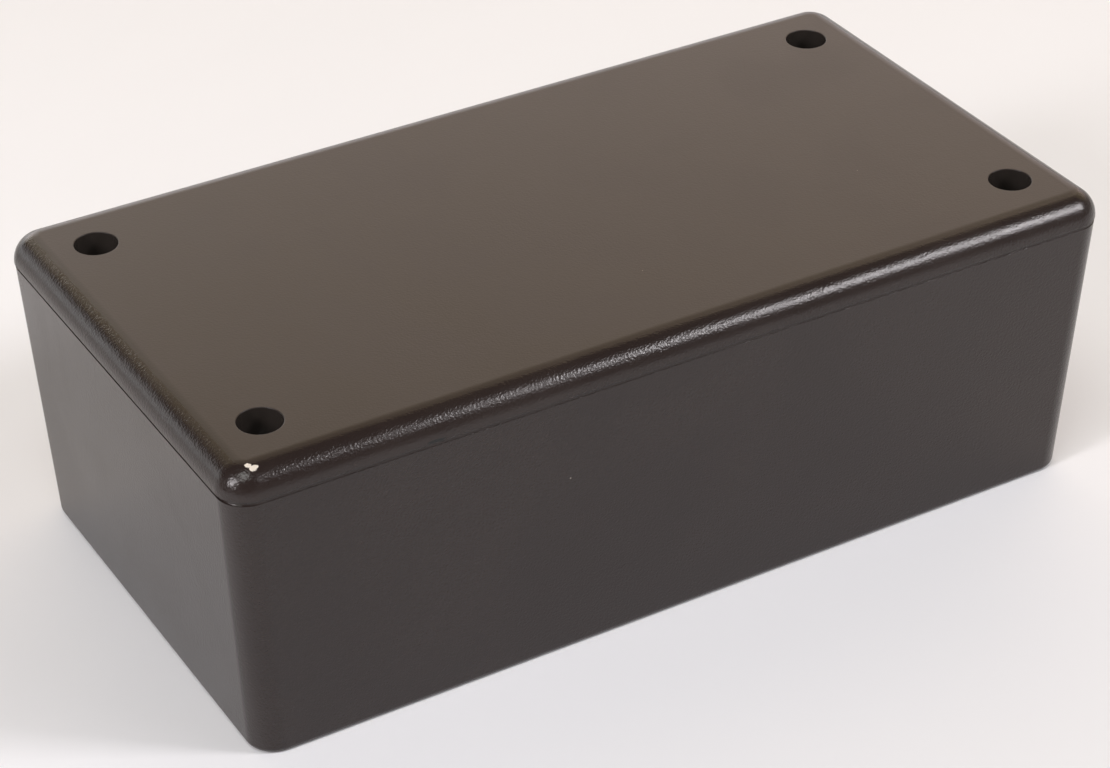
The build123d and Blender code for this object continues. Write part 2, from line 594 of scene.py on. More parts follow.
@dataclass(frozen=True)
class MouldedPlastic:
    """Black plastic, grained by the mould's skin outside and smoother inside, where a lighter colour paints
    in light.

    Above the rubbed heights the grain is worn low and the surface is duller.
    """

    name: str
    colour: Triple = (0.0200, 0.0128, 0.0112)
    worn_colour: Triple = (0.0230, 0.0150, 0.0130)
    # Inner faces, the screw holes among them, get a lighter colour than the skin: painted light that
    # brightens the holes.
    inner_colour_with_painted_light: Triple = (0.0330, 0.0275, 0.0240)
    dust_colour: Triple = (0.30, 0.27, 0.24)
    roughness: Pair = (0.20, 0.24)
    inner_roughness: float = 0.24
    grain_size: float = 0.36 * MM
    grain_depth: float = 0.060 * MM
    inner_grain: float = 0.25
    rubbed_grain: float = 0.28
    rubbed_roughness: float = 0.18
    rubbed_heights: Pair = (50.22 * MM, 50.45 * MM)
    ior: float = 1.47
    smudge_size: float = 24 * MM
    dust_spacing: float = 11 * MM
    dust_radius: float = 0.16 * MM
    dust_share: float = 0.22
    marks: tuple[Mark, ...] = ()

    def material(self, effects: SharedEffects) -> Material:
        """Build the plastic's material.

        Args:
            effects: Shared shader groups.

        Returns:
            The material.
        """
        nodes = SurfaceNodes(self.name)
        skin_share = nodes.add("ShaderNodeAttribute", attribute_name=SKIN_ATTRIBUTE).outputs["Fac"]
        smudges = nodes.effect(effects.smudges, Size=self.smudge_size)
        specks = {"Spacing": self.dust_spacing, "Radius": self.dust_radius, "Share": self.dust_share}
        dust = nodes.effect(effects.specks, **specks)
        colour = nodes.blend(smudges, self.colour, self.worn_colour)
        # Off the skin, the lighter inner colour is painted light in the holes and hollows.
        colour = nodes.blend(skin_share, self.inner_colour_with_painted_light, colour)
        colour = nodes.blend(nodes.math("MULTIPLY", dust, skin_share), colour, self.dust_colour)
        for mark in self.marks:
            mask = nodes.spot(mark.centre, mark.reach, mark.ragged, min(mark.reach))
            colour = nodes.blend(mask, colour, mark.colour)
        height = nodes.add("ShaderNodeSeparateXYZ", {0: nodes.place}).outputs["Z"]
        rubbed = nodes.ramp(height, *self.rubbed_heights)
        outer = nodes.ramp(smudges, 0.0, 1.0, self.roughness)
        outer = nodes.math("MULTIPLY_ADD", rubbed, self.rubbed_roughness, outer)
        gap = nodes.math("SUBTRACT", outer, self.inner_roughness)
        roughness = nodes.math("MULTIPLY_ADD", gap, skin_share, self.inner_roughness)
        relief = nodes.math("MULTIPLY_ADD", skin_share, 1 - self.inner_grain, self.inner_grain)
        left_over = nodes.math("MULTIPLY_ADD", rubbed, self.rubbed_grain - 1, 1.0)
        relief = nodes.math("MULTIPLY", relief, left_over)
        grain = nodes.effect(effects.grain, Size=self.grain_size)
        nodes.feed(nodes.shader.inputs["Base Color"], colour)
        nodes.feed(nodes.shader.inputs["Roughness"], roughness)
        nodes.feed(nodes.shader.inputs["IOR"], self.ior)
        nodes.bump(nodes.math("MULTIPLY", grain, relief), self.grain_depth)
        return nodes.material


@dataclass(frozen=True)
class Metal:
    """Bare or blackened metal with handling marks and a fine blasted grain."""

    name: str
    colour: Triple
    dulled_colour: Triple
    roughness: Pair
    metallic: float = 1.0
    smudge_size: float = 1.6 * MM
    grain_size: float = 0.09 * MM
    grain_depth: float = 0.0025 * MM

    def material(self, effects: SharedEffects) -> Material:
        """Build the metal's material.

        Args:
            effects: Shared shader groups.

        Returns:
            The material.
        """
        nodes = SurfaceNodes(self.name)
        smudges = nodes.effect(effects.smudges, Size=self.smudge_size)
        nodes.feed(nodes.shader.inputs["Base Color"], nodes.blend(smudges, self.colour, self.dulled_colour))
        nodes.feed(nodes.shader.inputs["Roughness"], nodes.ramp(smudges, 0.0, 1.0, self.roughness))
        nodes.feed(nodes.shader.inputs["Metallic"], self.metallic)
        nodes.bump(nodes.effect(effects.grain, Size=self.grain_size), self.grain_depth)
        return nodes.material


@dataclass(frozen=True)
class Paper:
    """White studio paper with faint broad patches."""

    name: str = "studio_paper"
    colour: Triple = (0.88, 0.885, 0.91)
    shaded_colour: Triple = (0.86, 0.865, 0.89)
    roughness: float = 0.75
    patch_size: float = 180 * MM

    def material(self, effects: SharedEffects) -> Material:
        """Build the paper's material.

        Args:
            effects: Shared shader groups.

        Returns:
            The material.
        """
        nodes = SurfaceNodes(self.name)
        patches = nodes.effect(effects.smudges, Size=self.patch_size)
        nodes.feed(nodes.shader.inputs["Base Color"], nodes.blend(patches, self.colour, self.shaded_colour))
        nodes.feed(nodes.shader.inputs["Roughness"], self.roughness)
        return nodes.material


def mark_skin(piece: Piece, outside: Callable[[Vector], bool]) -> None:
    """Mark the faces that the mould's grained side made.

    Args:
        piece: Shell to mark.
        outside: Test that tells from a face's middle whether it lies outside.
    """
    values = [1.0 if outside(face.center) else 0.0 for face in piece.data.polygons]
    attribute = piece.data.attributes.new(SKIN_ATTRIBUTE, "FLOAT", "FACE")
    attribute.data.foreach_set("value", values)


@dataclass(frozen=True)
class Layout:
    """Heights and places that the pieces share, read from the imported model."""

    half_length: float
    half_width: float
    top: float
    seam: float
    boss_foot: float
    pillar_top: float
    bush_foot: float
    head_top: float
    screw_tip: float
    screw_x: float
    screw_y: float

    @classmethod
    def from_frame(cls) -> "Layout":
        """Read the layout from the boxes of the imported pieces.

        Returns:
            The layout.
        """
        lid_low, lid_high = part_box("lid")
        _, base_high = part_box("base")
        screw_low, screw_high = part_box(Corner.BACK_RIGHT.named("screw"))
        bush_low, bush_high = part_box(Corner.BACK_RIGHT.named("bush"))
        axis = (screw_low + screw_high) / 2
        return cls(
            half_length=lid_high.x,
            half_width=lid_high.y,
            top=lid_high.z,
            seam=base_high.z,
            boss_foot=lid_low.z,
            pillar_top=bush_high.z,
            bush_foot=bush_low.z,
            head_top=screw_high.z,
            screw_tip=screw_low.z,
            screw_x=axis.x,
            screw_y=axis.y,
        )

    @property
    def pitches(self) -> Pair:
        """Return the screws' spacing along X and Y."""
        return 2 * self.screw_x, 2 * self.screw_y


@dataclass
class BaseShell:
    """Drafted tub with screw pillars, webs and ribs for upright circuit boards."""

    layout: Layout
    finish: MouldedPlastic
    overhang: float = 0.2 * MM
    wall: float = 2.3 * MM
    floor: float = 2.5 * MM
    corner_radius: float = 4.5 * MM
    bottom_radius: float = 1.0 * MM
    end_relief: float = 0.4 * MM
    side_relief: float = 0.15 * MM
    relief_height: float = 0.55 * MM
    lip_radius: float = 0.25 * MM
    floor_fillet: float = 0.6 * MM
    side_draft: float = math.radians(2.15)
    end_draft: float = math.radians(3.0)
    pillar_radius: float = 4.5 * MM
    bore_radius: float = 2.4 * MM
    bore_depth: float = 9.5 * MM
    bore_lead: float = 0.15 * MM
    web_thickness: float = 1.6 * MM
    web_drop: float = 1.5 * MM
    guide_slot: float = 1.8 * MM
    guide_rib: float = 1.2 * MM
    guide_reach: float = 3.5 * MM
    guide_pitch: float = 25.0 * MM
    guide_drop: float = 3.3 * MM
    side_slots: int = 5
    end_slots: int = 2
    edge_radius: float = 0.3 * MM
    edge_spare: float = 0.05 * MM
    corner_steps: int = 14
    edge_steps: int = 4
    pillar_sides: int = 64

    def outline(self, inset: float, z: float, radius: float, side_inset: float | None = None) -> Outline:
        """Return the tapered wall's outline at a height.

        Args:
            inset: How far the outline is moved inwards at the rim.
            z: Height of the outline.
            radius: Corner radius.
            side_inset: Inset of the long sides, where it differs.

        Returns:
            The outline.
        """
        drop = self.layout.seam - z
        along = inset if side_inset is None else side_inset
        return Outline(
            self.layout.half_length - self.overhang - inset - drop * math.tan(self.end_draft),
            self.layout.half_width - self.overhang - along - drop * math.tan(self.side_draft),
            radius,
            z,
        )

    def tub(self) -> Mesh:
        """Make the bare tub: outer wall, rim, inner wall and floor in one skin.

        Returns:
            The tub's mesh.
        """
        seam, inner_radius = self.layout.seam, self.corner_radius - self.wall
        rings = []
        for inset, drop in reversed(rounded(self.bottom_radius, self.edge_steps)):
            rings.append(self.outline(inset, drop, self.corner_radius - inset))
        for step in range(self.edge_steps + 1):
            angle = QUARTER_TURN * step / self.edge_steps
            inset, side_inset = (relief * math.sin(angle) for relief in (self.end_relief, self.side_relief))
            z = seam - self.relief_height * math.cos(angle)
            rings.append(self.outline(inset, z, self.corner_radius - side_inset, side_inset))
        for inset, drop in reversed(rounded(self.lip_radius, self.edge_steps)):
            rings.append(self.outline(self.wall - inset, seam - drop, inner_radius + inset))
        for inset, drop in rounded(self.floor_fillet, self.edge_steps):
            rings.append(self.outline(self.wall + inset, self.floor + drop, inner_radius - inset))
        return skin("tub", [ring.points(self.corner_steps) for ring in rings])

    def wall_core(self) -> Mesh:
        """Make the form that ends the fittings in the middle of the walls.

        Returns:
            The form's mesh.
        """
        half_wall = self.wall / 2
        levels = (self.floor / 2, self.layout.seam)
        outlines = [self.outline(half_wall, z, self.corner_radius - half_wall) for z in levels]
        return skin("wall_core", [outline.points(self.corner_steps) for outline in outlines])

    def block(self, name: str, length: float, width: float, top: float) -> Piece:
        """Make an upright block on the floor with rounded corners and a rounded top edge.

        Args:
            name: Name of the block.
            length: Its length along X.
            width: Its width along Y.
            top: Height of its top.

        Returns:
            The block.
        """
        radius = self.edge_radius + self.edge_spare
        levels = [(0.0, self.floor / 2)]
        levels += [(inset, top - drop) for inset, drop in rounded(self.edge_radius, self.edge_steps)]
        outlines = [Outline(length / 2 - inset, width / 2 - inset, radius - inset, z) for inset, z in levels]
        return link(name, skin(name, [outline.points(self.edge_steps) for outline in outlines]))

    def pillar(self) -> Piece:
        """Make one screw pillar with a rounded top edge.

        Returns:
            The pillar.
        """
        top, radius = self.layout.pillar_top, self.pillar_radius
        edge = rounded(self.edge_radius, self.edge_steps)
        profile = [(radius, self.floor / 2)] + [(radius - inset, top - drop) for inset, drop in edge]
        return link("pillar", skin("pillar", turned(profile, self.pillar_sides)))

    def bore(self) -> Piece:
        """Make the cutter of one bush's bore, with a lead-in at its mouth.

        Returns:
            The cutter.
        """
        top, radius, lead = self.layout.pillar_top, self.bore_radius, self.bore_lead
        profile = [(radius, top - self.bore_depth), (radius, top - lead), (radius + 2 * lead, top + lead)]
        return link("bore", skin("bore", turned(profile, self.pillar_sides)))

    @staticmethod
    def fitting_tree(copies: NodeTree) -> NodeTree:
        """Make the tree that stands pillars, webs and ribs in the tub.

        Args:
            copies: Group that sets forms out on grids.

        Returns:
            The tree.
        """
        forms = ("Pillar", "Bore", "Long web", "Cross web", "Side rib", "End rib", "Wall core")
        lengths = ("Screw pitch X", "Screw pitch Y", "Box length", "Box width", "Mouth length", "Mouth width")
        takes = {label: FORM for label in forms}
        takes.update({label: NUMBER for label in (*lengths, "Rib pitch", "Slot pitch")})
        takes.update({"Side slots": COUNT, "End slots": COUNT})
        tree = ShellTree("Fitted tub", takes, copies)
        screws = ("Screw pitch X", "Screw pitch Y")
        side_pair = tree.grid(tree.form("Side rib"), (2, 1), ("Rib pitch", "Rib pitch"))
        end_pair = tree.grid(tree.form("End rib"), (1, 2), ("Rib pitch", "Rib pitch"))
        fittings = boolean(
            tree.wiring,
            "UNION",
            tree.grid(tree.form("Pillar"), (2, 2), screws),
            tree.grid(tree.form("Long web"), (2, 2), ("Box length", "Screw pitch Y")),
            tree.grid(tree.form("Cross web"), (2, 2), ("Screw pitch X", "Box width")),
            tree.grid(side_pair, ("Side slots", 2), ("Slot pitch", "Mouth width")),
            tree.grid(end_pair, (2, "End slots"), ("Mouth length", "Slot pitch")),
        )
        ended = boolean(tree.wiring, "INTERSECT", fittings, tree.form("Wall core"))
        fitted = boolean(tree.wiring, "UNION", tree.wiring.takes["Shell"], ended)
        bored = boolean(tree.wiring, "DIFFERENCE", fitted, tree.grid(tree.form("Bore"), (2, 2), screws))
        return dressed(tree.wiring, bored)

    def build(self, copies: NodeTree) -> Piece:
        """Build the base as one mesh, bored and fitted.

        Args:
            copies: Group that sets forms out on grids.

        Returns:
            The base.
        """
        layout = self.layout
        mouth_inset = self.overhang + self.wall
        guide_top, web_top = layout.seam - self.guide_drop, layout.pillar_top - self.web_drop
        web_reach = (2 * (layout.half_length - layout.screw_x), 2 * (layout.half_width - layout.screw_y))
        pitch_x, pitch_y = layout.pitches
        piece = link("base_shell", self.tub())
        values = {
            "Pillar": self.pillar(),
            "Bore": self.bore(),
            "Long web": self.block("long_web", web_reach[0], self.web_thickness, web_top),
            "Cross web": self.block("cross_web", self.web_thickness, web_reach[1], web_top),
            "Side rib": self.block("side_rib", self.guide_rib, 2 * self.guide_reach, guide_top),
            "End rib": self.block("end_rib", 2 * self.guide_reach, self.guide_rib, guide_top),
            "Wall core": link("wall_core", self.wall_core()),
            "Screw pitch X": pitch_x,
            "Screw pitch Y": pitch_y,
            "Box length": 2 * layout.half_length,
            "Box width": 2 * layout.half_width,
            "Mouth length": 2 * (layout.half_length - mouth_inset),
            "Mouth width": 2 * (layout.half_width - mouth_inset),
            "Rib pitch": self.guide_slot + self.guide_rib,
            "Slot pitch": self.guide_pitch,
            "Side slots": self.side_slots,
            "End slots": self.end_slots,
        }
        grow(piece, self.fitting_tree(copies), values)
        smooth(piece)
        return piece

    def is_outside(self, point: Vector) -> bool:
        """Tell whether a point lies outside the middle of the walls and floor."""
        core = self.outline(self.wall / 2, point.z, 0.0)
        return abs(point.x) > core.half_length or abs(point.y) > core.half_width or point.z < self.floor / 2

    def dress(self, piece: Piece, effects: SharedEffects) -> None:
        """Put the plastic on the base and let it stand for its solid.

        Args:
            piece: The built base.
            effects: Shared shader groups.
        """
        mark_skin(piece, self.is_outside)
        piece.data.materials.clear()
        piece.data.materials.append(self.finish.material(effects))
        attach(piece, "base")
        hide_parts("base")


@dataclass
class LidShell:
    """Cover with a rounded edge, a locating tongue and four counterbored bosses."""

    layout: Layout
    finish: MouldedPlastic
    edge_radius: float = 4.3 * MM
    top_corner_radius: float = 0.7 * MM
    plate: float = 2.5 * MM
    foot_radius: float = 0.28 * MM
    tongue_inset: float = 2.9 * MM
    tongue_thickness: float = 1.4 * MM
    tongue_depth: float = 2.5 * MM
    tongue_radius: float = 1.8 * MM
    tongue_lead: float = 0.3 * MM
    hollow_radius: float = 0.5 * MM
    hollow_fillet: float = 0.35 * MM
    boss_radius: float = 5.0 * MM
    boss_round: float = 0.25 * MM
    counterbore_radius: float = 3.35 * MM
    shank_radius: float = 1.7 * MM
    head_height: float = 2.4 * MM
    mouth_round: float = 0.14 * MM
    corner_steps: int = 18
    edge_steps: int = 16
    small_steps: int = 4
    bore_sides: int = 96

    def cover(self) -> Mesh:
        """Make the bare cover: top, rounded edge, seam, tongue and hollow in one skin.

        Returns:
            The cover's mesh.
        """
        top, seam = self.layout.top, self.layout.seam
        corner = self.edge_radius + self.top_corner_radius
        tongue_foot = seam - self.tongue_depth
        hollow_inset = self.tongue_inset + self.tongue_thickness
        edge = reversed(rounded(self.edge_radius, self.edge_steps))
        rings = [(inset, top - drop, corner - inset) for inset, drop in edge]
        for inset, drop in rounded(self.foot_radius, self.small_steps):
            rings.append((inset, seam + drop, corner - inset))
        rings.append((self.tongue_inset, seam, self.tongue_radius))
        for inset, drop in rounded(self.tongue_lead, self.small_steps):
            rings.append((self.tongue_inset + inset, tongue_foot + drop, self.tongue_radius - inset))
        rings.append((hollow_inset, tongue_foot, self.hollow_radius))
        for inset, drop in rounded(self.hollow_fillet, self.small_steps):
            rings.append((hollow_inset + inset, top - self.plate - drop, self.hollow_radius - inset))
        half_length, half_width = self.layout.half_length, self.layout.half_width
        outlines = [Outline(half_length - inset, half_width - inset, radius, z) for inset, z, radius in rings]
        return skin("cover", [outline.points(self.corner_steps) for outline in outlines])

    def boss(self) -> Piece:
        """Make one boss, with its foot's edge rounded.

        Returns:
            The boss.
        """
        foot, radius = self.layout.boss_foot, self.boss_radius
        edge = reversed(rounded(self.boss_round, self.small_steps))
        profile = [(radius - inset, foot + drop) for inset, drop in edge]
        profile.append((radius, self.layout.top - self.plate / 2))
        return link("boss", skin("boss", turned(profile, self.bore_sides)))

    def bore(self) -> Piece:
        """Make the cutter of one counterbored screw hole, with its mouth's edge rounded.

        Returns:
            The cutter.
        """
        top, foot, shank = self.layout.top, self.layout.boss_foot, self.shank_radius
        seat = self.layout.head_top - self.head_height
        lead = self.mouth_round
        profile = [(shank + lead, foot - lead), (shank + lead, foot), (shank, foot + lead)]
        profile += [(shank, seat), (self.counterbore_radius, seat)]
        flare = reversed(rounded(lead, self.small_steps))
        profile += [(self.counterbore_radius + inset, top - drop) for drop, inset in flare]
        profile.append((self.counterbore_radius + lead, top + lead))
        return link("bore", skin("bore", turned(profile, self.bore_sides)))

    @staticmethod
    def boring_tree(copies: NodeTree) -> NodeTree:
        """Make the tree that puts four bored bosses in the cover.

        Args:
            copies: Group that sets forms out on grids.

        Returns:
            The tree.
        """
        takes = {"Boss": FORM, "Bore": FORM, "Screw pitch X": NUMBER, "Screw pitch Y": NUMBER}
        tree = ShellTree("Bossed cover", takes, copies)
        screws = ("Screw pitch X", "Screw pitch Y")
        bosses = tree.grid(tree.form("Boss"), (2, 2), screws)
        bores = tree.grid(tree.form("Bore"), (2, 2), screws)
        bossed = boolean(tree.wiring, "UNION", tree.wiring.takes["Shell"], bosses)
        bored = boolean(tree.wiring, "DIFFERENCE", bossed, bores)
        return dressed(tree.wiring, bored)

    def build(self, copies: NodeTree) -> Piece:
        """Build the lid as one mesh, bossed and bored.

        Args:
            copies: Group that sets forms out on grids.

        Returns:
            The lid.
        """
        piece = link("lid_shell", self.cover())
        pitch_x, pitch_y = self.layout.pitches
        values = {
            "Boss": self.boss(),
            "Bore": self.bore(),
            "Screw pitch X": pitch_x,
            "Screw pitch Y": pitch_y,
        }
        grow(piece, self.boring_tree(copies), values)
        smooth(piece)
        return piece

    def is_outside(self, point: Vector) -> bool:
        """Tell whether a point lies on the lid's outer skin, not in a hole or the hollow.

        Args:
            point: Middle of a face.

        Returns:
            True on the outer skin.
        """
        layout = self.layout
        off_axis = math.hypot(abs(point.x) - layout.screw_x, abs(point.y) - layout.screw_y)
        over_plate = point.z > layout.top - self.plate / 2 and off_axis > self.counterbore_radius
        inset = min(layout.half_length - abs(point.x), layout.half_width - abs(point.y))
        return over_plate or (point.z > layout.seam and inset < self.tongue_inset)

    def dress(self, piece: Piece, effects: SharedEffects) -> None:
        """Put the plastic on the lid and let it stand for its solid.

        Args:
            piece: The built lid.
            effects: Shared shader groups.
        """
        mark_skin(piece, self.is_outside)
        piece.data.materials.clear()
        piece.data.materials.append(self.finish.material(effects))
        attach(piece, "lid")
        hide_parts("lid")


def cross(half_span: float, half_width: float, z: float) -> list[Vector]:
    """Lay out a level cross about the upright axis.

    Args:
        half_span: From the axis to an arm's tip.
        half_width: Half the width of an arm.
        z: Height of the cross.

    Returns:
        The outline's points.
    """
    arm = [(half_span, -half_width), (half_span, half_width), (half_width, half_width)]
    points = []
    for quarter in range(4):
        turn = Matrix.Rotation(QUARTER_TURN * quarter, 3, "Z")
        points += [turn @ Vector((x, y, z)) for x, y in arm]
    return points


@dataclass
class LidScrew:
    """Pan-head machine screw with a cross recess."""

    layout: Layout
    finish: Metal
    head_radius: float = 2.8 * MM
    head_height: float = 2.4 * MM
    shoulder: float = 0.9 * MM
    head_edge: float = 0.12 * MM
    core_radius: float = 1.2 * MM
    crest_radius: float = 1.5 * MM
    crest_width: float = 0.06 * MM
    thread_pitch: float = 0.5 * MM
    thread_root: float = 0.92
    thread_sink: float = 0.25
    fade_length: float = 0.04
    faded_size: float = 0.15
    plain_neck: float = 0.7 * MM
    tip_taper: float = 0.5 * MM
    recess_span: float = 3.2 * MM
    recess_width: float = 0.9 * MM
    recess_depth: float = 1.3 * MM
    recess_taper: float = 0.6
    recess_rise: float = 0.2
    first_turn: float = math.radians(12)
    turn_step: float = math.radians(37)
    shoulder_steps: int = 8
    sides: int = 64
    points_per_turn: int = 40

    def blank(self) -> Mesh:
        """Make the turned blank: tip, core, neck and rounded head.

        Returns:
            The blank's mesh.
        """
        tip, top = self.layout.screw_tip, self.layout.head_top
        core, crest, head, edge = self.core_radius, self.crest_radius, self.head_radius, self.head_edge
        seat = top - self.head_height
        neck = seat - self.plain_neck
        profile = [(core - self.tip_taper / 2, tip), (core, tip + self.tip_taper)]
        profile += [(core, neck), (crest - edge, neck + self.plain_neck / 2), (crest, seat)]
        profile += [(head - edge, seat), (head, seat + edge)]
        shoulder = rounded(self.shoulder, self.shoulder_steps)
        profile += [(head - inset, top - drop) for inset, drop in shoulder]
        return skin("screw_blank", turned(profile, self.sides))

    def recess(self) -> Piece:
        """Make the tapered cutter of the cross recess, which stands a little out of the head.

        Returns:
            The cutter.
        """
        top, rise, shrunk = self.layout.head_top, self.recess_rise, self.recess_taper
        flared = 1 + (1 - shrunk) * rise
        levels = ((shrunk, top - self.recess_depth), (flared, top + rise * self.recess_depth))
        half_span, half_width = self.recess_span / 2, self.recess_width / 2
        outlines = [cross(scale * half_span, scale * half_width, z) for scale, z in levels]
        return link("recess", skin("recess", outlines))

    def thread_tree(self) -> NodeTree:
        """Make the tree that winds a thread round the blank and sinks the recess in its head.

        Returns:
            The tree.
        """
        lengths = ("Core radius", "Thread height", "Thread depth", "Root width", "Crest width", "Thread foot")
        takes = {"Recess": FORM, **{label: NUMBER for label in lengths}}
        takes.update({"Turns": ("NodeSocketFloat", 10.0), "Points per turn": COUNT})
        tree = ShellTree("Threaded screw", takes)
        wiring = tree.wiring
        given = wiring.takes
        radius = given["Core radius"]
        helix = wiring.add(
            "GeometryNodeCurveSpiral",
            {
                "Resolution": given["Points per turn"],
                "Rotations": given["Turns"],
                "Start Radius": radius,
                "End Radius": radius,
                "Height": given["Thread height"],
            },
        )
        lifted = wiring.add(
            "GeometryNodeTransform",
            {
                "Geometry": helix.outputs["Curve"],
                "Translation": wiring.add("ShaderNodeCombineXYZ", {"Z": given["Thread foot"]}).outputs[0],
            },
        )
        upright = wiring.add("GeometryNodeSetCurveNormal", {"Curve": lifted.outputs[0]}, mode="Z_UP")
        crest = (given["Thread depth"], given["Crest width"])
        root = (wiring.math("MULTIPLY", given["Thread depth"], -self.thread_sink), given["Root width"])
        profile = wiring.add("GeometryNodeCurvePrimitiveQuadrilateral", mode="POINTS")
        section = ((root, -0.5), (crest, -0.5), (crest, 0.5), (root, 0.5))
        for number, ((out, width), half) in enumerate(section, start=1):
            along = wiring.math("MULTIPLY", width, half)
            point = wiring.add("ShaderNodeCombineXYZ", {"X": out, "Y": along}).outputs[0]
            wiring.feed(profile.inputs[f"Point {number}"], point)
        factor = wiring.add("GeometryNodeSplineParameter").outputs["Factor"]
        to_end = wiring.math("MINIMUM", factor, wiring.math("SUBTRACT", 1.0, factor))
        spread = {"From Min": 0.0, "From Max": self.fade_length, "To Min": self.faded_size, "To Max": 1.0}
        fade = wiring.add("ShaderNodeMapRange", {"Value": to_end, **spread})
        ridge = wiring.add(
            "GeometryNodeCurveToMesh",
            {
                "Curve": upright.outputs[0],
                "Profile Curve": profile.outputs["Curve"],
                "Scale": fade.outputs[0],
                "Fill Caps": True,
            },
        )
        threaded = boolean(wiring, "UNION", given["Shell"], ridge.outputs["Mesh"])
        sunk_in = boolean(wiring, "DIFFERENCE", threaded, tree.form("Recess"))
        return dressed(wiring, sunk_in)

    def build(self) -> Piece:
        """Build one screw on the upright axis.

        Returns:
            The screw.
        """
        foot = self.layout.screw_tip + self.tip_taper
        height = self.layout.head_top - self.head_height - self.plain_neck - foot
        piece = link("lid_screw", self.blank())
        values = {
            "Recess": self.recess(),
            "Core radius": self.core_radius,
            "Thread height": height,
            "Thread depth": self.crest_radius - self.core_radius,
            "Root width": self.thread_pitch * self.thread_root,
            "Crest width": self.crest_width,
            "Thread foot": foot,
            "Turns": height / self.thread_pitch,
            "Points per turn": self.points_per_turn,
        }
        grow(piece, self.thread_tree(), values)
        smooth(piece)
        return piece

    def dress(self, piece: Piece, effects: SharedEffects) -> list[Piece]:
        """Set a screw with the metal on it in each corner, each turned its own way.

        Args:
            piece: The built screw, which is removed.
            effects: Shared shader groups.

        Returns:
            The four screws.
        """
        material = self.finish.material(effects)
        made = []
        for number, corner in enumerate(Corner):
            turn = self.first_turn + self.turn_step * number
            screw = set_in_corner(piece, corner.named("lid_screw"), corner.named("screw"), turn)
            screw.data.materials.clear()
            screw.data.materials.append(material)
            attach(screw, corner.named("screw"))
            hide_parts(corner.named("screw"))
            made.append(screw)
        bpy.data.objects.remove(piece)
        return made


def set_in_corner(piece: Piece, name: str, node: str, turn: float) -> Piece:
    """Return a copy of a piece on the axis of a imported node, turned about that axis.

    Args:
        piece: Piece on the upright axis through the origin.
        name: Name of the copy.
        node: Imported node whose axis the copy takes.
        turn: Angle about the axis.

    Returns:
        The copy, with its place in its mesh.
    """
    low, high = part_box(node)
    middle = (low + high) / 2
    mesh = piece.data.copy()
    mesh.transform(Matrix.Translation((middle.x, middle.y, 0)) @ Matrix.Rotation(turn, 4, "Z"))
    return link(name, mesh)


class BushRing(NamedTuple):
    """One ring of points on a bush, with the way its knurls lean and whether it is threaded."""

    radius: float
    z: float
    knurl: float = 0.0
    thread: float = 0.0


